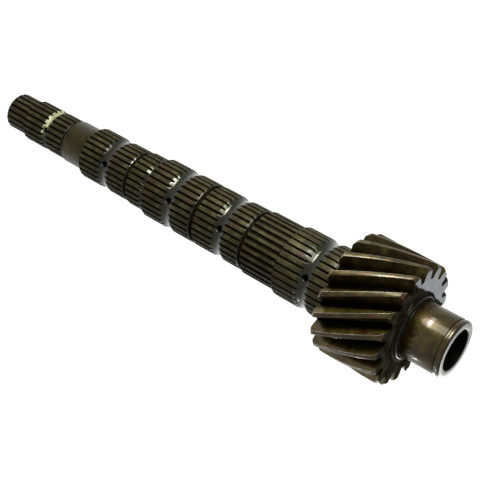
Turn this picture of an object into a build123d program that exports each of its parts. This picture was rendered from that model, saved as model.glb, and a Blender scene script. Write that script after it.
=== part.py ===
from build123d import *
from math import acos, atan, cos, degrees, pi, radians, sin, tan
import os

# Gearbox output shaft with its pinion, one forged and turned piece of steel.
# It stands on its small splined end, with +Z up the axis towards the pinion
# and the hollow bearing journal. The oil holes face -Y.
# All sizes are in millimetres and all angles in degrees.

# Spline crests, from the small end up
tail_diameter = 22.4
lock_diameter = 25.6
seat_diameter = 26.6
low_diameter = 31.8
step_diameter = 33.0
mid_diameter = 36.4
high_diameter = 38.0
head_diameter = 41.0

# Teeth around each spline
tail_teeth = 19
lock_teeth = 22
low_teeth = 28
mid_teeth = 30
head_teeth = 32

# Lengths along the axis, from the small end up
tail_length = 16.7
lock_lower_length = 17.2
lock_band_length = 2.0
lock_upper_length = 14.0
lock_groove_width = 1.6
seat_length = 16.5
low_lower_length = 16.4
low_upper_length = 14.5
step_length = 13.7
mid_first_length = 15.8
mid_second_length = 14.8
mid_third_length = 14.4
mid_fourth_length = 12.9
high_length = 22.9
head_lower_length = 16.3
head_upper_length = 12.1
neck_length = 1.8
band_length = 5.9
ring_groove_width = 2.2

# Spline teeth: depth, gap widths as shares of the pitch, and end forms
tooth_depth = 1.3
gap_share = 0.42
wide_gap_share = 0.58
wide_floor_share = 0.26
narrow_gap_share = 0.32
band_relief = 0.2
ring_groove_relief = 0.5
run_out = 1.1
entry_bevel = 1.2
end_chamfer = 1.1
seat_break = 0.4

# Helical pinion
pinion_teeth = 18
pinion_tip_diameter = 69.0
pinion_helix_angle = 24.8
pinion_pressure_angle = 20.0
pinion_width = 40.2
pinion_end_bevel = 1.6
pinion_root_fillet = 0.9
pinion_phase = 0.0
hub_diameter = 40.0
hub_rise = 0.7

# Bearing journal and its end
collar_diameter = 35.8
collar_length = 1.2
relief_width = 0.9
relief_depth = 0.6
journal_diameter = 32.0
journal_length = 19.0
end_groove_width = 1.5
end_groove_depth = 0.8
end_land_length = 2.4
journal_chamfer = 0.8

# Bore, oil passage and oil holes
bore_diameter = 23.2
bore_depth = 58.0
bore_chamfer = 0.5
drill_point_angle = 118.0
passage_diameter = 8.0
oil_hole_diameter = 3.5
tail_oil_hole_diameter = 3.0
oil_hole_angle = -90.0


def spline(length, diameter, teeth, lower=0, upper=0, gap=gap_share, floor=0):
    """A toothed step: its size, its end chamfers and its gaps as shares of the pitch."""
    return dict(length=length, diameter=diameter, teeth=teeth, lower=lower, upper=upper,
                gap=gap, floor=floor)


def plain(length, diameter, lower=0, upper=0, oil_hole=0):
    """A smooth step: its size, its chamfers and the oil hole at its middle, if it has one."""
    return dict(length=length, diameter=diameter, teeth=0, lower=lower, upper=upper,
                oil_hole=oil_hole)


def band(crest_diameter, length=band_length, oil_hole=oil_hole_diameter):
    """A turned band, just below the gap floors of the splines beside it."""
    return plain(length, crest_diameter - 2 * (tooth_depth + band_relief), oil_hole=oil_hole)


def ring_groove(crest_diameter, width=ring_groove_width):
    """A retaining ring's groove between two splines."""
    return plain(width, crest_diameter - 2 * (tooth_depth + ring_groove_relief))


steps = [
    spline(tail_length, tail_diameter, tail_teeth, lower=end_chamfer),
    spline(lock_lower_length, lock_diameter, lock_teeth, upper=run_out),
    band(lock_diameter, lock_band_length, tail_oil_hole_diameter),
    spline(lock_upper_length, lock_diameter, lock_teeth, lower=run_out),
    ring_groove(lock_diameter, lock_groove_width),
    plain(seat_length, seat_diameter, lower=seat_break),
    spline(low_lower_length, low_diameter, low_teeth, entry_bevel, run_out),
    band(low_diameter),
    spline(low_upper_length, low_diameter, low_teeth, lower=run_out),
    ring_groove(low_diameter),
    spline(step_length, step_diameter, low_teeth),
    spline(mid_first_length, mid_diameter, mid_teeth, upper=run_out),
    band(mid_diameter),
    spline(mid_second_length, mid_diameter, mid_teeth, lower=run_out),
    ring_groove(mid_diameter),
    spline(mid_third_length, mid_diameter, mid_teeth, upper=run_out),
    band(mid_diameter),
    spline(mid_fourth_length, mid_diameter, mid_teeth, lower=run_out),
    ring_groove(mid_diameter),
    spline(high_length, high_diameter, mid_teeth, gap=wide_gap_share, floor=wide_floor_share),
    spline(head_lower_length, head_diameter, head_teeth, upper=run_out, gap=narrow_gap_share),
    band(head_diameter),
    spline(head_upper_length, head_diameter, head_teeth, lower=run_out, gap=narrow_gap_share),
    plain(neck_length, head_diameter - 2 * (tooth_depth + band_relief)),
    plain(pinion_width, pinion_tip_diameter, pinion_end_bevel, pinion_end_bevel),
    plain(hub_rise, hub_diameter),
    plain(collar_length, collar_diameter, upper=seat_break),
    plain(relief_width, journal_diameter - 2 * relief_depth),
    plain(journal_length, journal_diameter),
    plain(end_groove_width, journal_diameter - 2 * end_groove_depth),
    plain(end_land_length, journal_diameter, upper=journal_chamfer),
]

# The height at which each step starts
height = 0
for step in steps:
    step["start"] = height
    height += step["length"]
total_length = height
pinion_start = next(step["start"] for step in steps if step["diameter"] == pinion_tip_diameter)

# The passage ends at the lowest oil hole
lowest_hole = next(step for step in steps if step.get("oil_hole"))
passage_end = lowest_hole["start"] + lowest_hole["length"] / 2 - passage_diameter / 2
bore_floor = total_length - bore_depth
bore_point = bore_diameter / 2 / tan(radians(drill_point_angle / 2))
passage_point = passage_diameter / 2 / tan(radians(drill_point_angle / 2))

# Pinion geometry in the plane across the axis. The teeth stand one module above the pitch circle
transverse_ratio = cos(radians(pinion_helix_angle))
pinion_normal_module = pinion_tip_diameter / (pinion_teeth / transverse_ratio + 2)
transverse_module = pinion_normal_module / transverse_ratio
pinion_tip_radius = pinion_tip_diameter / 2
pinion_pitch_radius = transverse_module * pinion_teeth / 2
pinion_root_radius = pinion_tip_radius - 2.25 * pinion_normal_module
transverse_pressure = atan(tan(radians(pinion_pressure_angle)) / transverse_ratio)
pinion_base_radius = pinion_pitch_radius * cos(transverse_pressure)
pinion_twist_per_mm = degrees(tan(radians(pinion_helix_angle)) / pinion_pitch_radius)


def outline_of(step):
    """The corners of one step's turned outline, as (radius, height)."""
    radius = step["diameter"] / 2
    bottom = step["start"]
    top = bottom + step["length"]
    if step["teeth"]:
        core = radius - tooth_depth - ring_groove_relief
        return [(core, bottom), (core, top)]
    return [(radius - step["lower"], bottom), (radius, bottom + step["lower"]),
            (radius, top - step["upper"]), (radius - step["upper"], top)]


def blank_outline():
    """The turned outline of the whole shaft without its splines, with no repeated points."""
    points = [(0, 0)]
    for step in steps:
        for point in outline_of(step):
            if point != points[-1]:
                points.append(point)
    return points + [(0, total_length)]


def toothed_outline(step):
    """A spline's section, with flat crests and with one gap in line with the oil holes."""
    crest = step["diameter"] / 2
    pitch_angle = 2 * pi / step["teeth"]
    half_gap = pitch_angle * step["gap"] / 2
    half_floor = pitch_angle * step["floor"] / 2
    corners = []
    for tooth in range(step["teeth"]):
        middle = radians(oil_hole_angle) + pitch_angle * tooth
        floor_turns = (-half_floor, half_floor) if half_floor else (0,)
        corners.append((crest, middle - half_gap))
        corners += [(crest - tooth_depth, middle + turn) for turn in floor_turns]
        corners.append((crest, middle + half_gap))
    return [(radius * cos(angle), radius * sin(angle)) for radius, angle in corners]


def involute_turn(radius):
    """The angle, in degrees, that an involute has turned by when it reaches a radius."""
    pressure = acos(min(1, pinion_base_radius / radius))
    return degrees(tan(pressure) - pressure)


def flank_point(radius, side):
    """A point of the gap's flank, with the gap centred on the X axis."""
    half_gap_at_pitch = 90 / pinion_teeth
    turn = half_gap_at_pitch + involute_turn(radius) - involute_turn(pinion_pitch_radius)
    angle = radians(side * turn)
    return (radius * cos(angle), radius * sin(angle))


def pinion_gap_section(plane):
    """One gap between two pinion teeth, closed outside the tips."""
    outside = pinion_tip_radius + 2
    form = pinion_base_radius + 0.1 * pinion_normal_module
    middle = (form + pinion_tip_radius) / 2
    floor_half = flank_point(form, 1)[1] - pinion_root_fillet
    corners = [(pinion_root_radius, floor_half)]
    corners += [flank_point(radius, 1) for radius in (form, middle, outside)]
    mirrored = [(x, -y) for x, y in reversed(corners)]
    with BuildSketch(plane) as section:
        with BuildLine():
            Polyline(*corners, *mirrored, close=True)
        make_face()
    return section.sketch.face()


with BuildPart() as output_shaft:
    # Turned blank
    with BuildSketch(Plane.XZ):
        with BuildLine():
            Polyline(*blank_outline(), close=True)
        make_face()
    revolve(axis=Axis.Z)

    # Splines, with a chamfer across each tooth's crest where they run out
    rings = []
    for step in steps:
        if step["teeth"]:
            with BuildSketch(Plane.XY.offset(step["start"])):
                with BuildLine():
                    Polyline(*toothed_outline(step), close=True)
                make_face()
            ring = extrude(amount=step["length"], mode=Mode.PRIVATE)
            crest_flat = step["diameter"] / 2 * cos(pi / step["teeth"] * (1 - step["gap"]))
            for end, size in ((0, step["lower"]), (-1, step["upper"])):
                if size:
                    edges = ring.edges().group_by(Axis.Z)[end].filter_by(
                        lambda edge: edge.distance_to((0, 0, edge.center().Z)) > crest_flat - 0.01)
                    ring = ring.chamfer(size, None, edges)
            rings.append(ring)
    add(rings)

    # Bore with its drill point, and the oil passage below it
    with BuildSketch(Plane.XZ):
        with BuildLine():
            Polyline((0, total_length), (bore_diameter / 2 + bore_chamfer, total_length),
                     (bore_diameter / 2, total_length - bore_chamfer),
                     (bore_diameter / 2, bore_floor), (passage_diameter / 2, bore_floor - bore_point
                      + passage_point), (passage_diameter / 2, passage_end),
                     (0, passage_end - passage_point), close=True)
        make_face()
    revolve(axis=Axis.Z, mode=Mode.SUBTRACT)

    # Oil holes from the bands to the passage
    for step in steps:
        if step.get("oil_hole"):
            middle_height = step["start"] + step["length"] / 2
            across = Plane(origin=(0, 0, middle_height), z_dir=(cos(radians(oil_hole_angle)),
                                                                sin(radians(oil_hole_angle)), 0))
            with BuildSketch(across):
                Circle(step["oil_hole"] / 2)
            extrude(amount=step["diameter"], mode=Mode.SUBTRACT)

# One gap of the pinion, twisted along the axis past both of its faces
gap_levels = 4
gap_overrun = 1.5
gap_faces = []
for level in range(gap_levels):
    rise = (pinion_width + 2 * gap_overrun) * level / (gap_levels - 1) - gap_overrun
    turn = pinion_phase - pinion_twist_per_mm * rise
    level_plane = Plane.XY.offset(pinion_start + rise).rotated((0, 0, turn))
    gap_faces.append(pinion_gap_section(level_plane))
with BuildPart() as pinion_gap:
    loft(gap_faces)

with BuildPart() as finished_shaft:
    add(output_shaft.part)
    with PolarLocations(0, pinion_teeth):
        add(pinion_gap.part, mode=Mode.SUBTRACT)

os.makedirs("parts", exist_ok=True)
finished_shaft.part.label = "output_shaft"
export_step(finished_shaft.part, "parts/output_shaft.step")
print("length", round(total_length, 2), "solids", len(finished_shaft.part.solids()),
      "volume", round(finished_shaft.part.volume))
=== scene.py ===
from math import acos, atan, cos, pi, radians, sin, tan

import bmesh
import bpy
from mathutils import Matrix, Vector


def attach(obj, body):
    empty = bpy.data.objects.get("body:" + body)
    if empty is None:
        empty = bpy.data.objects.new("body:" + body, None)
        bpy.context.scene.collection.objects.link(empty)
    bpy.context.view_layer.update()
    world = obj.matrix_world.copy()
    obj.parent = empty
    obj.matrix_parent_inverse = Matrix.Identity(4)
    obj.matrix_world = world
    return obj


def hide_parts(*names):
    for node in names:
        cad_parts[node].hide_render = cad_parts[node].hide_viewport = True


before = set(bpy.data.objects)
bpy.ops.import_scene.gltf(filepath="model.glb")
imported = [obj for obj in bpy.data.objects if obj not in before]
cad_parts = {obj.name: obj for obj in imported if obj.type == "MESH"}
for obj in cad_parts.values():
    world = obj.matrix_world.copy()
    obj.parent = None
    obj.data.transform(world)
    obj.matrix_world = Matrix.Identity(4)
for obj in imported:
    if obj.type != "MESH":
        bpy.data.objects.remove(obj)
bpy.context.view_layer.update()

# A gearbox output shaft: one forged piece of steel, hobbed, turned and ground,
# standing on its small splined end with the pinion and journal on top.
# Lengths are in millimetres and angles in degrees until a mesh is finished.

TOTAL_LENGTH = 319.7
OIL_HOLE_ANGLE = -90.0

MILLIMETRE = 0.001

# Points closer than this are one point, and edges sharper than this angle stay sharp
SAME_POINT = 0.001
SHARP_FROM = 35.0

# Sides of what is turned, and the bevel of those core edges that are sharper than this angle
CORE_SIDES = 128
DRILL_SIDES = 32
BEVEL_FROM = 40.0
RIM_BEVEL = 0.15

# Spline teeth: their depth, their rounded edge, the corner of that edge as shares of its size
# out from the flank and down from the crest, and how far a ring of teeth reaches into the core
TOOTH_DEPTH = 1.3
TOOTH_EDGE = 0.22
EDGE_OUT = 0.35
EDGE_DOWN = 0.3
RING_OVERLAP = 0.6

# The core lies below the gap floors, and its bands and slopes just below those of the teeth
CORE_CLEARANCE = 0.5
CLEARANCE = 0.03

# Splines: start, length, diameter, teeth, lower end form, upper end form, gap share, floor share
SPLINES = [
    (0.0, 16.7, 22.4, 19, "chamfer", "plain", 0.42, 0.12),
    (16.7, 16.1, 25.6, 22, "plain", "lock_band", 0.42, 0.12),
    (37.0, 12.9, 25.6, 22, "lock_band", "lip", 0.42, 0.12),
    (68.0, 15.3, 31.8, 28, "chamfer", "band", 0.42, 0.12),
    (91.4, 13.4, 31.8, 28, "band", "lip", 0.42, 0.12),
    (107.0, 13.7, 33.0, 28, "plain", "ramp", 0.42, 0.12),
    (120.7, 14.7, 36.4, 30, "plain", "band", 0.42, 0.12),
    (143.5, 13.7, 36.4, 30, "band", "lip", 0.42, 0.12),
    (159.4, 13.3, 36.4, 30, "plain", "band", 0.42, 0.12),
    (180.8, 11.8, 36.4, 30, "band", "lip", 0.42, 0.12),
    (194.8, 22.9, 38.0, 30, "plain", "plain", 0.58, 0.26),
    (217.7, 15.2, 41.0, 32, "plain", "band", 0.32, 0.10),
    (241.0, 11.0, 41.0, 32, "band", "lip", 0.32, 0.10),
]

# Turned bands: hollow rings between two splines, with their start, width and crest diameter
BANDS = [
    (32.8, 4.2, 25.6),
    (83.3, 8.1, 31.8),
    (135.4, 8.1, 36.4),
    (172.7, 8.1, 36.4),
    (232.9, 8.1, 41.0),
]
BAND_WIDTHS = {"lock_band": 4.2, "band": 8.1}
BAND_DEPTH = 1.42

# A band's straight ramps as a share of its half width, and the shares of its width at each edge
# that the teeth draw and that the core leaves to them
BAND_STRAIGHT = 0.45
BAND_ON_TEETH = 0.25
BAND_OFF_CORE = 0.2

# Closed slopes at the upper end of a spline: length and depth. The core draws their upper part,
# and none of it lies deeper than the slope reach
SLOPES = {"ramp": (3.9, 1.73), "lip": (0.9, 0.47)}
SLOPE_ON_CORE = 0.6
SLOPE_REACH = 1.78

# Ends of the teeth: the chamfer, and lengths and depths of the worn rims
END_CHAMFER = 1.1
RIM_LENGTH = 0.55
RIM_DEPTH = 0.5
BAND_RIM_LENGTH = 0.15
BAND_RIM_DEPTH = 0.06
SLOPE_RIM_LENGTH = 0.2
END_FINISHES = {"chamfer": "rim", "plain": "rim", "ramp": "band", "lip": "rim"}

# The side of the lock band towards the lamps, where the dried grease lies thick as a painted
# highlight
GREASE_AND_HIGHLIGHT_ANGLE = -138.0

# Painted reflection on the pinion's end face: light beyond a straight line this far from the axis
REFLECTION_SPLIT_ANGLE = 165.5
REFLECTION_SPLIT_FROM = 17.5

# Smooth steps: start, length, diameter, finish
SMOOTH_STEPS = [
    (49.9, 1.6, 22.0, "groove"),
    (51.5, 16.5, 26.6, "seat"),
    (104.8, 2.2, 28.2, "groove"),
    (157.2, 2.2, 32.8, "groove"),
    (192.6, 2.2, 32.8, "groove"),
    (252.0, 1.8, 38.0, "groove"),
]

# Oil holes: height and diameter. Their countersinks start this far below the band
OIL_HOLES = [(34.9, 3.0), (87.35, 3.5), (139.45, 3.5), (176.75, 3.5), (236.95, 3.5)]
COUNTERSINK = 0.35

# Pinion. Its teeth are 2.25 modules deep
PINION_TEETH = 18
PINION_START = 253.8
PINION_WIDTH = 40.2
PINION_TIP_RADIUS = 34.5
PINION_NORMAL_MODULE = 3.161
PINION_DEPTH = 2.25 * PINION_NORMAL_MODULE
PINION_HELIX = 24.8
PINION_PRESSURE = 20.0
PINION_BEVEL = 1.6
PINION_INNER_RADIUS = 18.6

# Pinion teeth: the flank's start above the base circle, the fillet's rise, the widths of the gap's
# floor and of its fillet as shares of the gap, and the tip's rounded edge, whose corner lies this
# far down and this share of the edge out
FLANK_START = 0.3
FLANK_POINTS = 6
FILLET_RISE = 0.35
FLOOR_SHARE = 0.55
FILLET_SHARE = 0.85
TIP_EDGE = 0.3
TIP_DROP = 0.08
TIP_OUT = 0.25

# Journal end: radius and height of each corner, up from inside the pinion
JOURNAL_OUTLINE = [
    (19.0, 293.0), (20.0, 293.0), (20.0, 294.7), (17.9, 294.7),
    (17.9, 295.5), (17.5, 295.9), (15.4, 295.9), (15.4, 296.8),
    (16.0, 296.8), (16.0, 315.8), (15.2, 315.8), (15.2, 317.3),
    (16.0, 317.3), (16.0, 318.9), (15.2, 319.7),
]
JOURNAL_START = 296.6

# Bore and oil passage, with the heights of their drill points
BORE_RADIUS = 11.6
BORE_FLOOR = 261.7
BORE_CHAMFER = 0.5
BORE_POINT = 4.5
PASSAGE_RADIUS = 4.0
PASSAGE_END = 30.9
PASSAGE_POINT = 2.4

# The part of a face's normal that lies along the axis: from here on the face is a rim, and from
# here on it is square to the axis
RIM_LEAN = 0.3
SQUARE_LEAN = 0.9

# The roughness of the oil film on every finish
FILM_ROUGHNESS = 0.12

# Camera, at the photograph's viewpoint. Its lengths and those of the lamps are in metres
LENS = 86.25
CAMERA_TARGET = Vector((0.003949, -0.001052, 0.182641))
CAMERA_DISTANCE = 0.636985
CAMERA_AZIMUTH = -104.918
CAMERA_ELEVATION = 28.316
CAMERA_ROLL = -119.03

# Surroundings: how much the floor glows to the eye and how much of its shadow it keeps, and
# the even light on the object
FLOOR_GLOW = 0.95
FLOOR_SHADE = 0.2
EVEN_LIGHT = 0.55


def linear(hex_colour):
    """An sRGB hex colour as Blender's linear colour."""
    parts = [int(hex_colour[i:i + 2], 16) / 255 for i in (1, 3, 5)]
    return [p / 12.92 if p <= 0.04045 else ((p + 0.055) / 1.055) ** 2.4 for p in parts] + [1.0]


def node(tree, kind, inputs=None, stops=None, **settings):
    """Adds a shader node, with its settings, its links or values, and its colour stops."""
    made = tree.nodes.new("ShaderNode" + kind)
    for name, value in settings.items():
        setattr(made, name, value)
    for socket, value in (inputs or {}).items():
        if isinstance(value, bpy.types.NodeSocket):
            tree.links.new(value, made.inputs[socket])
        else:
            made.inputs[socket].default_value = value
    if stops:
        elements = made.color_ramp.elements
        while len(elements) < len(stops):
            elements.new(0.5)
        for element, (position, value) in zip(elements, stops):
            element.position = position
            element.color = value if isinstance(value, list) else [value, value, value, 1.0]
    return made


def steel(name, colours, blotch_mm, grain_mm, roughness, metallic, film, stain=None, bump_mm=0.02,
          shine=0.1):
    """Steel with blotched colour, fine tool marks and an uneven gloss under a thin oil film."""
    material = bpy.data.materials.new(name)
    material.use_nodes = True
    tree = material.node_tree
    shader = tree.nodes["Principled BSDF"]
    place = node(tree, "TexCoord").outputs["Object"]
    blotch = node(tree, "TexNoise", {"Vector": place, "Scale": 1000 / blotch_mm, "Detail": 4.0,
                                     "Roughness": 0.6}).outputs[0]
    grain_scale = [1000 / size for size in grain_mm]
    grain_place = node(tree, "Mapping", {"Vector": place, "Scale": grain_scale}).outputs["Vector"]
    grain = node(tree, "TexNoise", {"Vector": grain_place, "Scale": 1.0, "Detail": 3.0,
                                    "Roughness": 0.7}).outputs[0]
    dark, middle, light = [linear(colour) for colour in colours]
    colour = node(tree, "ValToRGB", {"Fac": blotch},
                  stops=[(0.32, dark), (0.5, middle), (0.68, light)]).outputs["Color"]
    if stain:
        stain_colour, stain_mm, start, full = stain
        shifted = node(tree, "Mapping", {"Vector": place, "Location": [0.31, 0.17, 0.73]})
        patch = node(tree, "TexNoise", {"Vector": shifted.outputs["Vector"],
                                        "Scale": 1000 / stain_mm, "Detail": 2.0}).outputs[0]
        cover = node(tree, "MapRange", {"Value": patch, "From Min": start, "From Max": full})
        colour = node(tree, "Mix", {0: cover.outputs["Result"], 6: colour,
                                    7: linear(stain_colour)}, data_type="RGBA").outputs[2]
    speckle = node(tree, "ValToRGB", {"Fac": grain}, stops=[(0.3, 0.4), (0.7, 1.0)])
    mixed = node(tree, "Mix", {0: 0.7, 6: colour, 7: speckle.outputs["Color"]},
                 data_type="RGBA", blend_type="MULTIPLY").outputs[2]
    tree.links.new(mixed, shader.inputs["Base Color"])
    low, high = roughness
    gloss = node(tree, "MapRange", {"Value": grain, "From Min": 0.3, "From Max": 0.7,
                                    "To Min": low, "To Max": high}).outputs["Result"]
    tree.links.new(gloss, shader.inputs["Roughness"])
    bump = node(tree, "Bump", {"Height": grain, "Strength": 0.5, "Distance": bump_mm / 1000})
    tree.links.new(bump.outputs["Normal"], shader.inputs["Normal"])
    shader.inputs["Metallic"].default_value = metallic
    shader.inputs["Specular IOR Level"].default_value = shine
    shader.inputs["Coat Weight"].default_value = film
    shader.inputs["Coat Roughness"].default_value = FILM_ROUGHNESS
    return material


def reach_towards(tree, place, angle):
    """How many millimetres a place lies from the axis towards an angle."""
    side = radians(angle)
    return node(tree, "VectorMath", {0: place, 1: [1000 * cos(side), 1000 * sin(side), 0]},
                operation="DOT_PRODUCT").outputs["Value"]


def cover_with(material, cover, colour):
    """Lays another colour over a steel, which is not metallic where it is covered: dirt and painted
    light alike.
    """
    tree = material.node_tree
    shader = tree.nodes["Principled BSDF"]
    steel_colour = shader.inputs["Base Color"].links[0].from_socket
    mixed = node(tree, "Mix", {0: cover, 6: steel_colour, 7: colour}, data_type="RGBA").outputs[2]
    tree.links.new(mixed, shader.inputs["Base Color"])
    metallic = shader.inputs["Metallic"].default_value
    bare = node(tree, "MapRange", {"Value": cover, "To Min": metallic, "To Max": 0.0})
    tree.links.new(bare.outputs["Result"], shader.inputs["Metallic"])


def hobbed_steel():
    """Hobbed spline crests under old gearbox oil: olive brown, with fine lines along the teeth.

    The lines are drawn a little coarser than real ones, so that they show."""
    return steel("hobbed_steel", ("#1f1d0b", "#302d17", "#454227"), 5, (1.5, 1.5, 7.0),
                 (0.5, 0.65), 0.4, 0.06, stain=("#352818", 11, 0.5, 0.7))


def shaded_gap():
    """Tooth gaps, grooves and the core under the teeth: nearly black and dull, painted shade."""
    return steel("shaded_gap", ("#0e0c06", "#16130a", "#221e12"), 4, (0.5, 0.5, 1.0),
                 (0.5, 0.7), 0.1, 0.0, shine=0.0)


def turned_band():
    """Bands turned smooth: nearly black green, mirror-like under a thick film of oil."""
    return steel("turned_band", ("#111104", "#191906", "#262611"), 6, (5.0, 5.0, 0.25),
                 (0.22, 0.34), 0.9, 0.46, stain=("#182008", 8, 0.5, 0.7), bump_mm=0.015)


def grease_and_highlight():
    """Pale yellow-green dried grease on the lock band, laid thick on the side towards the lamps as
    a painted highlight, and patchy elsewhere.

    The noise adds up to 16 mm to the reach, so that the grease ends in crumbs."""
    material = steel("grease_and_highlight", ("#1f2016", "#2c2d22", "#3d3f34"), 3, (0.5, 0.5, 0.3),
                     (0.4, 0.6), 0.4, 0.3)
    tree = material.node_tree
    place = node(tree, "TexCoord").outputs["Object"]
    crumbs = node(tree, "TexNoise", {"Vector": place, "Scale": 1000 / 1.6,
                                     "Detail": 4.0}).outputs[0]
    # Thickest towards the lamps: painted highlight over real grease
    amount = node(tree, "Math", {0: crumbs, 1: 16.0, 2: reach_towards(tree, place, GREASE_AND_HIGHLIGHT_ANGLE)},
                  operation="MULTIPLY_ADD").outputs[0]
    cover = node(tree, "MapRange", {"Value": amount, "From Min": 13.5, "From Max": 16.5})
    pale = node(tree, "ValToRGB", {"Fac": crumbs},
                stops=[(0.35, linear("#5f6440")), (0.62, linear("#a2a681"))]).outputs["Color"]
    cover_with(material, cover.outputs["Result"], pale)
    return material


def worn_edge_and_highlight():
    """The tip edge of each pinion tooth on the lamp side: bare bright steel, wear and painted
    highlight.
    """
    return steel("worn_edge_and_highlight", ("#6b6450", "#8d8674", "#b5b0a2"), 2.5, (0.5, 0.5, 0.9),
                 (0.25, 0.4), 0.9, 0.2)


def oiled_rim():
    """Chamfered rims of grooves and collars: dark, but sharp enough to catch a lamp."""
    return steel("oiled_rim", ("#110e06", "#1a170c", "#292518"), 3, (0.5, 0.5, 0.9),
                 (0.2, 0.3), 0.6, 0.3)


def ground_journal():
    """A ground bearing journal: olive brown, glossy, with fine lines round it."""
    return steel("ground_journal", ("#211b05", "#31290a", "#483d15"), 7, (14.0, 14.0, 0.3),
                 (0.25, 0.38), 0.6, 0.3, stain=("#2e1d08", 6, 0.52, 0.66), bump_mm=0.03)


def smooth_seat():
    """The smooth seat: brown oil varnish over ground steel, darker than the journal."""
    return steel("smooth_seat", ("#1a1702", "#292504", "#3d370d"), 8, (10.0, 10.0, 0.4),
                 (0.3, 0.45), 0.7, 0.12, stain=("#2d250a", 9, 0.5, 0.7), bump_mm=0.01, shine=0.0)


def pinion_crest():
    """Tips of the pinion teeth: olive bronze with rusty brown patches."""
    return steel("pinion_crest", ("#211d09", "#332d13", "#494121"), 6, (0.8, 0.8, 2.4),
                 (0.35, 0.55), 0.8, 0.25, stain=("#4a2912", 8, 0.55, 0.7))


def pinion_lit_flank():
    """The side of each tooth towards the lamps: an even bronze olive, painted light."""
    return steel("pinion_lit_flank", ("#39310f", "#53471b", "#6d602e"), 7, (0.8, 0.8, 2.4),
                 (0.3, 0.45), 0.8, 0.35, stain=("#4a2c12", 9, 0.55, 0.75))


def pinion_shaded_flank():
    """The side of each tooth away from the lamps: nearly black, a painted dark reflection."""
    return steel("pinion_shaded_flank", ("#16120a", "#241e10", "#3a3219"), 7, (1.0, 1.0, 3.0),
                 (0.4, 0.6), 0.4, 0.0, shine=0.0)


def pinion_root_shade():
    """The roots between the pinion teeth: black, painted shade of the deep gaps."""
    return steel("pinion_root_shade", ("#060503", "#0a0805", "#12100a"), 6, (1.0, 1.0, 3.0),
                 (0.5, 0.7), 0.0, 0.0, shine=0.0)


def tooth_bevel_reflection():
    """The bevelled far ends of the pinion teeth: a lighter tan than the crests, a painted
    reflection.
    """
    return steel("tooth_bevel_reflection", ("#4c4028", "#6a5b3c", "#857553"), 4, (1.0, 1.0, 1.0),
                 (0.3, 0.45), 0.7, 0.2)


def faced_steel():
    """The faced pinion end: a painted reflection, light blue-grey steel on one side and dark
    elsewhere.

    The noise takes up to 3 mm off the reach, so that the light side ends in a ragged line."""
    material = steel("faced_steel", ("#6a6c70", "#7b7e82", "#8d9197"), 14, (0.5, 9.0, 1.5),
                     (0.2, 0.3), 1.0, 0.0, shine=0.0)
    tree = material.node_tree
    place = node(tree, "TexCoord").outputs["Object"]
    ragged = node(tree, "TexNoise", {"Vector": place, "Scale": 1000 / 5, "Detail": 3.0}).outputs[0]
    edge = node(tree, "Math", {0: ragged, 1: -3.0, 2: reach_towards(tree, place, REFLECTION_SPLIT_ANGLE)},
                operation="MULTIPLY_ADD").outputs[0]
    # Where the painted dark reflection covers the face
    oil = node(tree, "MapRange", {"Value": edge, "From Min": REFLECTION_SPLIT_FROM,
                                  "From Max": REFLECTION_SPLIT_FROM - 0.8})
    dark = node(tree, "ValToRGB", {"Fac": ragged},
                stops=[(0.35, linear("#1b1811")), (0.65, linear("#3a362b"))]).outputs["Color"]
    cover_with(material, oil.outputs["Result"], dark)
    return material


def oiled_hub():
    """The hub and collar beside the journal: dark with oil."""
    return steel("oiled_hub", ("#0f0e0a", "#181610", "#25221a"), 5, (2.0, 2.0, 0.3),
                 (0.4, 0.55), 0.1, 0.0, shine=0.0)


def end_ring_steel():
    """The journal's faced end: clean light grey steel."""
    return steel("end_ring_steel", ("#75756f", "#888882", "#9a9a93"), 8, (1.0, 1.0, 1.0),
                 (0.3, 0.45), 0.9, 0.1)


def bored_steel():
    """The bore: dark drilled steel with rings from the tool."""
    return steel("bored_steel", ("#0b0a07", "#12110d", "#1f1e1a"), 10, (8.0, 8.0, 0.6),
                 (0.35, 0.5), 0.5, 0.15)


FINISHES = {
    "hobbed": hobbed_steel(),
    "gap": shaded_gap(),
    "band": turned_band(),
    "lock_band": grease_and_highlight(),
    "edge": worn_edge_and_highlight(),
    "rim": oiled_rim(),
    "journal": ground_journal(),
    "seat": smooth_seat(),
    "crest": pinion_crest(),
    "lit_flank": pinion_lit_flank(),
    "shaded_flank": pinion_shaded_flank(),
    "root": pinion_root_shade(),
    "bevel": tooth_bevel_reflection(),
    "faced": faced_steel(),
    "hub": oiled_hub(),
    "end_ring": end_ring_steel(),
    "bore": bored_steel(),
}
FINISH_INDEX = {name: index for index, name in enumerate(FINISHES)}


def polar(radius, angle, height):
    """A point from its radius, its angle and its height."""
    return Vector((radius * cos(angle), radius * sin(angle), height))


def sweep(bm, outlines, finish_at):
    """Skins a strip through matching outlines; finish_at(level, strip) names each finish."""
    place = bm.verts.layers.int.new("place")
    verts = [bm.verts.new(point) for point in outlines[0]]
    for number, vert in enumerate(verts):
        vert[place] = number
    edges = [bm.edges.new(pair) for pair in zip(verts, verts[1:])]
    for level, outline in enumerate(outlines[1:]):
        made = bmesh.ops.extrude_edge_only(bm, edges=edges)["geom"]
        verts = {item for item in made if isinstance(item, bmesh.types.BMVert)}
        edges = [item for item in made if isinstance(item, bmesh.types.BMEdge)
                 and set(item.verts) <= verts]
        for vert in verts:
            vert.co = outline[vert[place]]
        for face in {face for edge in edges for face in edge.link_faces}:
            strip = min(vert[place] for vert in face.verts)
            face.material_index = FINISH_INDEX[finish_at(level, strip)]


def repeat_around(bm, count):
    """Copies one tooth around the axis and joins the copies."""
    geometry = bm.verts[:] + bm.edges[:] + bm.faces[:]
    bmesh.ops.spin(bm, geom=geometry, cent=(0, 0, 0), axis=(0, 0, 1), dvec=(0, 0, 0),
                   angle=2 * pi * (count - 1) / count, steps=count - 1, use_duplicate=True)
    bmesh.ops.remove_doubles(bm, verts=bm.verts, dist=SAME_POINT)
    bmesh.ops.recalc_face_normals(bm, faces=bm.faces)


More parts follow.
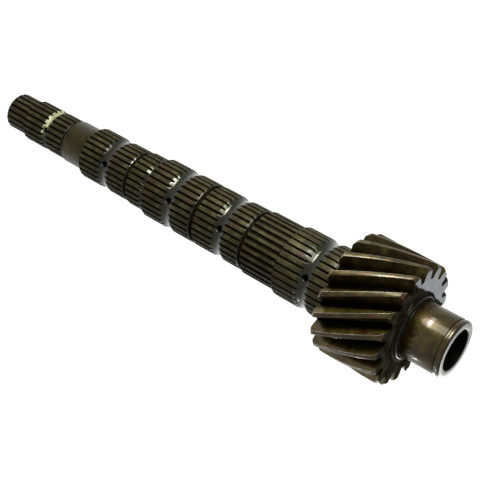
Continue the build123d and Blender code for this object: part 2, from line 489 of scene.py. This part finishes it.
def turned(outline, sides):
    """A solid turned from its outline, given as radii and heights from axis to axis."""
    bm = bmesh.new()
    verts = []
    for radius, height in outline:
        point = Vector((radius, 0.0, height))
        if not verts or (verts[-1].co - point).length > SAME_POINT:
            verts.append(bm.verts.new(point))
    for pair in zip(verts, verts[1:]):
        bm.edges.new(pair)
    bmesh.ops.spin(bm, geom=bm.verts[:] + bm.edges[:], cent=(0, 0, 0), axis=(0, 0, 1),
                   dvec=(0, 0, 0), angle=2 * pi, steps=sides, use_merge=True)
    bmesh.ops.remove_doubles(bm, verts=bm.verts, dist=SAME_POINT)
    bmesh.ops.recalc_face_normals(bm, faces=bm.faces)
    return bm


def moved_in(outline, radius):
    """The same outline, moved in to a radius."""
    return [Vector((*(point.xy.normalized() * radius), point.z)) for point in outline]


def joined(name, shapes):
    """Puts several shapes in one mesh."""
    whole = bmesh.new()
    for shape in shapes:
        mesh = bpy.data.meshes.new(name)
        shape.to_mesh(mesh)
        shape.free()
        whole.from_mesh(mesh)
        bpy.data.meshes.remove(mesh)
    return whole


def object_in_metres(name, bm):
    """Turns a mesh in millimetres into an object in metres with all the finishes."""
    bmesh.ops.scale(bm, vec=(MILLIMETRE, MILLIMETRE, MILLIMETRE), verts=bm.verts)
    mesh = bpy.data.meshes.new(name)
    bm.to_mesh(mesh)
    bm.free()
    for material in FINISHES.values():
        mesh.materials.append(material)
    made = bpy.data.objects.new(name, mesh)
    bpy.context.scene.collection.objects.link(made)
    return made


def finished_piece(name, bm):
    """Turns a mesh in millimetres into a smooth piece that stands for the shaft."""
    for face in bm.faces:
        face.smooth = True
    piece = object_in_metres(name, bm)
    piece.data.set_sharp_from_angle(angle=radians(SHARP_FROM))
    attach(piece, "root")
    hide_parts("output_shaft")
    return piece


def tooth_outline(crest, limit, teeth, gap, floor, height):
    """One spline tooth from gap to gap, with its crest turned down to a limit."""
    pitch = 2 * pi / teeth
    root = crest - TOOTH_DEPTH
    top = min(crest, limit)
    floor_turn = pitch * floor / 2
    gap_turn = pitch * gap / 2
    share = max(0.0, (top - TOOTH_EDGE - root) / TOOTH_DEPTH)
    flank_turn = floor_turn + (gap_turn - floor_turn) * share
    corner_turn = flank_turn + TOOTH_EDGE * EDGE_OUT / crest
    top_turn = corner_turn + TOOTH_EDGE / crest
    points = [(root, 0.0), (root, floor_turn), (max(root, top - TOOTH_EDGE), flank_turn),
              (max(root, top - TOOTH_EDGE * EDGE_DOWN), corner_turn), (top, top_turn),
              (top, (top_turn + pitch / 2) / 2), (top, pitch / 2)]
    points += [(radius, pitch - turn) for radius, turn in reversed(points[:-1])]
    start = radians(OIL_HOLE_ANGLE)
    return [polar(radius, start + turn, height) for radius, turn in points]


def hollow(width, distance):
    """How deep a band is at a distance in from its edge: straight ramps and a rounded bottom."""
    share = 1 - abs(2 * distance / width - 1)
    rounded = 1 - BAND_STRAIGHT
    slope = 2 / (1 + BAND_STRAIGHT)
    if share < BAND_STRAIGHT:
        return BAND_DEPTH * slope * share
    rise = (share - BAND_STRAIGHT) / rounded
    return BAND_DEPTH * slope * (BAND_STRAIGHT + rounded * (rise - rise ** 2 / 2))


def end_levels(form, crest):
    """How the teeth end, as (distance in from the end, radius); a negative one lies in the band."""
    if form in BAND_WIDTHS:
        width = BAND_WIDTHS[form]
        steps = 4
        reach = BAND_ON_TEETH * width
        levels = [(-reach * step / steps, crest - hollow(width, reach * step / steps))
                  for step in range(steps, 0, -1)]
        return levels + [(0.0, crest - BAND_RIM_DEPTH), (BAND_RIM_LENGTH, crest)]
    if form == "chamfer":
        return [(0.0, crest - END_CHAMFER), (END_CHAMFER, crest)]
    if form in SLOPES:
        length, depth = SLOPES[form]
        rim_depth = SLOPE_RIM_LENGTH * depth / length
        return [(0.0, crest - depth), (length - SLOPE_RIM_LENGTH, crest - rim_depth),
                (length, crest)]
    return [(0.0, crest - RIM_DEPTH), (RIM_LENGTH, crest)]


def spline_ring(start, length, diameter, teeth, lower, upper, gap, floor):
    """One hobbed ring of teeth on the shaft, closed underneath."""
    crest = diameter / 2
    inner = crest - TOOTH_DEPTH - CORE_CLEARANCE - RING_OVERLAP
    levels = [(start + distance, limit) for distance, limit in end_levels(lower, crest)]
    levels += [(start + length - distance, limit)
               for distance, limit in reversed(end_levels(upper, crest))]
    outlines = [tooth_outline(crest, limit, teeth, gap, floor, height) for height, limit in levels]
    bottom = moved_in(outlines[0], inner)
    top = moved_in(outlines[-1], inner)
    first = len(end_levels(lower, crest))
    last = len(levels) - len(end_levels(upper, crest))
    strips = len(outlines[0]) - 1
    gap_strips = 3

    def finish_at(level, strip):
        # Gaps take the nearly black finish, a painted shade
        if not gap_strips <= strip < strips - gap_strips or level == 0 or level >= len(levels):
            return "gap"
        for form, beside in ((lower, level < first), (upper, level > last)):
            if beside:
                return form if form in BAND_WIDTHS else END_FINISHES[form]
        return "hobbed"

    bm = bmesh.new()
    sweep(bm, [bottom, *outlines, top, bottom], finish_at)
    repeat_around(bm, teeth)
    return bm


def spline_teeth():
    """All the rings of spline teeth as one piece."""
    return finished_piece("spline_teeth", joined("rings", [spline_ring(*size) for size in SPLINES]))


def core_outline():
    """The turned outline of the shaft under its teeth, up the outside and down the bore."""
    points = []
    for start, length, diameter, _, _, upper, *_ in SPLINES:
        core = diameter / 2 - TOOTH_DEPTH - CORE_CLEARANCE
        corners = [(core, start), (core, start + length)]
        if upper in SLOPES:
            slope, depth = SLOPES[upper]
            middle = start + length - slope * SLOPE_ON_CORE
            ring = diameter / 2 - CLEARANCE
            corners = [(core, start), (core, middle),
                       (ring - depth * (1 - SLOPE_ON_CORE), middle),
                       (ring - depth, start + length - CLEARANCE)]
        points.append((start, corners))
    for start, length, diameter, _ in SMOOTH_STEPS:
        radius = diameter / 2
        points.append((start, [(radius, start), (radius, start + length)]))
    for start, width, diameter in BANDS:
        steps = 14
        inset = BAND_OFF_CORE * width
        core = diameter / 2 - TOOTH_DEPTH - CORE_CLEARANCE
        arc = [(core, start + inset)]
        for step in range(steps + 1):
            distance = inset + (width - 2 * inset) * step / steps
            arc.append((diameter / 2 - CLEARANCE - hollow(width, distance), start + distance))
        arc.append((core, start + width - inset))
        points.append((start, arc))
    outline = [(0.0, 0.0)]
    for _, corners in sorted(points):
        outline += corners
    outline += JOURNAL_OUTLINE
    outline += [
        (BORE_RADIUS + BORE_CHAMFER, TOTAL_LENGTH), (BORE_RADIUS, TOTAL_LENGTH - BORE_CHAMFER),
        (BORE_RADIUS, BORE_FLOOR), (PASSAGE_RADIUS, BORE_FLOOR - BORE_POINT),
        (PASSAGE_RADIUS, PASSAGE_END), (0.0, PASSAGE_END - PASSAGE_POINT),
    ]
    return outline


def drill(height, diameter):
    """One oil hole as a solid: a straight drill with a small countersink at the band."""
    surface = next(size / 2 - BAND_DEPTH for start, width, size in BANDS
                   if start < height < start + width)
    radius = diameter / 2
    low = PASSAGE_RADIUS / 2
    flare = surface - COUNTERSINK
    spread = 2.0
    bm = turned([(0.0, low), (radius, low), (radius, flare),
                 (radius + spread, flare + spread), (0.0, flare + spread)], DRILL_SIDES)
    lay_down = Matrix.Rotation(pi / 2, 3, "X")
    turn = Matrix.Rotation(radians(OIL_HOLE_ANGLE) + pi / 2, 3, "Z")
    bmesh.ops.rotate(bm, cent=(0, 0, 0), matrix=turn @ lay_down, verts=bm.verts)
    bmesh.ops.translate(bm, vec=(0, 0, height), verts=bm.verts)
    for face in bm.faces:
        face.material_index = FINISH_INDEX["bore"]
    return bm


def drill_oil_holes(piece):
    """Drills the oil holes from the bands to the passage, and merges what the cut leaves double."""
    bm = joined("drills", [drill(height, diameter) for height, diameter in OIL_HOLES])
    drills = object_in_metres("drills", bm)
    cut = piece.modifiers.new("oil_holes", "BOOLEAN")
    cut.operation = "DIFFERENCE"
    cut.solver = "EXACT"
    cut.object = drills
    evaluated = piece.evaluated_get(bpy.context.evaluated_depsgraph_get())
    drilled = bpy.data.meshes.new_from_object(evaluated)
    piece.modifiers.remove(cut)
    piece.data = drilled
    bpy.data.objects.remove(drills)
    merged = bmesh.new()
    merged.from_mesh(drilled)
    bmesh.ops.remove_doubles(merged, verts=merged.verts, dist=SAME_POINT * MILLIMETRE)
    merged.to_mesh(drilled)
    merged.free()


def core_finish(radius, height, lean):
    """The finish of the turned shaft at a radius and height, for a face with this lean."""
    near = 0.2
    is_rim = RIM_LEAN < abs(lean) < SQUARE_LEAN
    in_bore = radius < BORE_RADIUS + 0.9 * BORE_CHAMFER and height > BORE_FLOOR - BORE_POINT - 0.5
    if lean > SQUARE_LEAN and height > TOTAL_LENGTH - 0.3:
        return "end_ring"
    if radius < PASSAGE_RADIUS + near or in_bore:
        return "bore"
    if height > JOURNAL_START:
        return "rim" if is_rim else "journal"
    if height > PINION_START:
        return "rim" if is_rim else "hub"
    for start, width, _ in BANDS:
        if start < height < start + width:
            ring = "lock_band" if width == BAND_WIDTHS["lock_band"] else "band"
            return ring if abs(lean) < SQUARE_LEAN else "gap"
    for start, length, _, finish in SMOOTH_STEPS:
        if finish == "seat" and start - near < height < start + length + near:
            return "rim" if is_rim else "seat"
    for start, length, diameter, _, _, upper, *_ in SPLINES:
        deepest = diameter / 2 - SLOPE_REACH
        if upper in SLOPES and radius > deepest and start < height < start + length:
            return END_FINISHES[upper] if lean < SQUARE_LEAN else "gap"
    # The rest of the core, grooves included, takes the painted shade of the gaps
    return "gap"


def turned_core():
    """The turned shaft: bands, grooves, seat, journal and bore, spun from its outline."""
    bm = turned(core_outline(), CORE_SIDES)
    rims = [edge for edge in bm.edges if edge.calc_face_angle(0) > radians(BEVEL_FROM)
            and abs(edge.verts[0].co.z - edge.verts[1].co.z) < SAME_POINT
            and edge.verts[0].co.xy.length > BORE_RADIUS + 0.2]
    bmesh.ops.bevel(bm, geom=rims, offset=RIM_BEVEL, segments=2, profile=0.5,
                    affect="EDGES", material=-1)
    for face in bm.faces:
        middle = face.calc_center_median()
        face.material_index = FINISH_INDEX[core_finish(middle.xy.length, middle.z, face.normal.z)]
    core = finished_piece("turned_core", bm)
    drill_oil_holes(core)
    return core


def involute_turn(radius, base):
    """The angle by which an involute has turned when it reaches a radius."""
    pressure = acos(min(1, base / radius))
    return tan(pressure) - pressure


def pinion_tooth_outline(limit, height):
    """One pinion tooth from gap to gap, with its tip turned down to a limit."""
    helix = radians(PINION_HELIX)
    pitch_radius = PINION_NORMAL_MODULE / cos(helix) * PINION_TEETH / 2
    pressure = atan(tan(radians(PINION_PRESSURE)) / cos(helix))
    base = pitch_radius * cos(pressure)
    root = PINION_TIP_RADIUS - PINION_DEPTH
    half_pitch = pi / PINION_TEETH
    at_pitch = involute_turn(pitch_radius, base)

    def gap_turn(radius):
        return half_pitch / 2 + involute_turn(radius, base) - at_pitch

    top = min(limit, PINION_TIP_RADIUS)
    form = base + FLANK_START
    points = [(root, 0.0), (root, gap_turn(form) * FLOOR_SHARE),
              (root + FILLET_RISE, gap_turn(form) * FILLET_SHARE)]
    for step in range(FLANK_POINTS):
        radius = form + (top - TIP_EDGE - form) * step / (FLANK_POINTS - 1)
        points.append((radius, gap_turn(radius)))
    edge_turn = gap_turn(top - TIP_EDGE)
    points.append((top - TIP_DROP, edge_turn + TIP_OUT * TIP_EDGE / top))
    points.append((top, edge_turn + TIP_EDGE / top))
    points.append((top, half_pitch))
    points += [(radius, 2 * half_pitch - turn) for radius, turn in reversed(points[:-1])]
    twist = tan(helix) / pitch_radius
    start = -twist * (height - PINION_START)
    return [polar(radius, start + turn, height) for radius, turn in points]


def pinion():
    """The helical pinion with its bevelled tooth ends."""
    low = PINION_START
    high = PINION_START + PINION_WIDTH
    tip = PINION_TIP_RADIUS
    levels = [(low, tip - PINION_BEVEL), (low + PINION_BEVEL, tip)]
    steps = 18
    span = PINION_WIDTH - 2 * PINION_BEVEL
    levels += [(low + PINION_BEVEL + span * step / steps, tip) for step in range(1, steps)]
    levels += [(high - PINION_BEVEL, tip), (high, tip - PINION_BEVEL)]
    outlines = [pinion_tooth_outline(limit, height) for height, limit in levels]
    bottom = moved_in(outlines[0], PINION_INNER_RADIUS)
    top = moved_in(outlines[-1], PINION_INNER_RADIUS)
    strips = len(outlines[0]) - 1
    root_strips = 2
    flank_end = root_strips + FLANK_POINTS

    def finish_at(level, strip):
        if level in (0, len(levels)):
            return "faced"
        # Roots take the black finish, a painted shade
        if strip < root_strips or strip >= strips - root_strips:
            return "root"
        # The lower bevels are painted lighter as a reflection
        if flank_end <= strip < strips - flank_end and level == 1:
            return "bevel"
        # Only the tip edge on the lamp side is bright: wear and painted highlight
        if strip in (flank_end, flank_end + 1):
            return "edge"
        # Flanks towards the lamps are painted light, the other flanks a painted dark reflection
        if strip < flank_end:
            return "lit_flank"
        if strip >= strips - flank_end:
            return "shaded_flank"
        return "crest"

    bm = bmesh.new()
    sweep(bm, [bottom, *outlines, top], finish_at)
    repeat_around(bm, PINION_TEETH)
    return finished_piece("pinion", bm)


def add_camera():
    """The camera, rolled so that the standing shaft lies across the picture."""
    azimuth = radians(CAMERA_AZIMUTH)
    elevation = radians(CAMERA_ELEVATION)
    back = Vector((cos(elevation) * cos(azimuth), cos(elevation) * sin(azimuth), sin(elevation)))
    level_right = (-back).cross(Vector((0, 0, 1))).normalized()
    level_up = back.cross(level_right)
    roll = radians(CAMERA_ROLL)
    up = level_up * cos(roll) + level_right * sin(roll)
    right = up.cross(back)
    data = bpy.data.cameras.new("camera")
    data.lens = LENS
    data.sensor_width = 36.0
    data.clip_start = 0.01
    camera = bpy.data.objects.new("camera", data)
    bpy.context.scene.collection.objects.link(camera)
    turn = Matrix((right, up, back)).transposed().to_4x4()
    camera.matrix_world = Matrix.Translation(CAMERA_TARGET + back * CAMERA_DISTANCE) @ turn
    bpy.context.scene.camera = camera


def add_lamp(name, place, target, width, height, brightness):
    """A soft rectangular lamp; brightness 1 looks as bright as white paper."""
    data = bpy.data.lights.new(name, "AREA")
    data.shape = "RECTANGLE"
    data.size = width
    data.size_y = height
    data.energy = brightness * pi * width * height
    lamp = bpy.data.objects.new(name, data)
    bpy.context.scene.collection.objects.link(lamp)
    lamp.location = place
    lamp.rotation_euler = (Vector(target) - Vector(place)).to_track_quat("-Z", "Y").to_euler()
    lamp.visible_camera = False


def white_to_the_eye(tree):
    """Is 1 for what the camera, gloss and glass see, and 0 for the light on the object."""
    path = node(tree, "LightPath").outputs
    seen = node(tree, "Math", {0: path["Is Camera Ray"], 1: path["Is Glossy Ray"]},
                operation="MAXIMUM").outputs[0]
    return node(tree, "Math", {0: seen, 1: path["Is Transmission Ray"]},
                operation="MAXIMUM").outputs[0]


def add_floor():
    """A plain pale floor that keeps a faint shadow."""
    bm = bmesh.new()
    bmesh.ops.create_grid(bm, x_segments=1, y_segments=1, size=4.0)
    mesh = bpy.data.meshes.new("floor")
    bm.to_mesh(mesh)
    bm.free()
    floor = bpy.data.objects.new("floor", mesh)
    bpy.context.scene.collection.objects.link(floor)
    material = bpy.data.materials.new("pale_floor")
    material.use_nodes = True
    tree = material.node_tree
    output = tree.nodes["Material Output"]
    tree.nodes.remove(tree.nodes["Principled BSDF"])
    paper = node(tree, "BsdfDiffuse", {"Color": linear("#f2f2f0")}).outputs[0]
    strength = node(tree, "Math", {0: white_to_the_eye(tree), 1: FLOOR_GLOW},
                    operation="MULTIPLY").outputs[0]
    glow = node(tree, "Emission", {"Strength": strength}).outputs[0]
    shade = node(tree, "MixShader", {0: 1 - FLOOR_SHADE, 1: paper}).outputs[0]
    both = node(tree, "AddShader", {0: shade, 1: glow}).outputs[0]
    tree.links.new(both, output.inputs["Surface"])
    mesh.materials.append(material)


def add_world():
    """White surroundings to the eye, and a plain even light on the object."""
    world = bpy.data.worlds.new("studio")
    bpy.context.scene.world = world
    world.use_nodes = True
    tree = world.node_tree
    background = tree.nodes["Background"]
    seen = white_to_the_eye(tree)
    strength = node(tree, "MapRange", {"Value": seen, "To Min": EVEN_LIGHT, "To Max": 1.0})
    tree.links.new(strength.outputs["Result"], background.inputs["Strength"])
    background.inputs["Color"].default_value = [1, 1, 1, 1]


def add_lamps():
    """Studio lamps: a panel, a strip and a spark at the left, a spark right, a soft one behind."""
    add_lamp("near_panel", (-0.27, -0.195, 0.27), (0.0, 0.0, 0.27), 0.17, 0.29, 10.0)
    add_lamp("near_strip", (-0.286, -0.165, 0.2), (0.0, 0.0, 0.2), 0.26, 0.035, 22.0)
    add_lamp("near_spark", (-0.272, -0.178, 0.198), (0.0, 0.0, 0.2), 0.1, 0.01, 210.0)
    add_lamp("right_spark", (0.33, 0.05, 0.2), (0.0, 0.0, 0.3), 0.015, 0.02, 100.0)
    add_lamp("back_soft", (0.5, 0.7, 0.5), (0.0, 0.0, 0.16), 0.5, 0.5, 5.0)


turned_core()
spline_teeth()
pinion()
add_camera()
add_floor()
add_world()
add_lamps()
bpy.context.scene.view_settings.view_transform = "Standard"
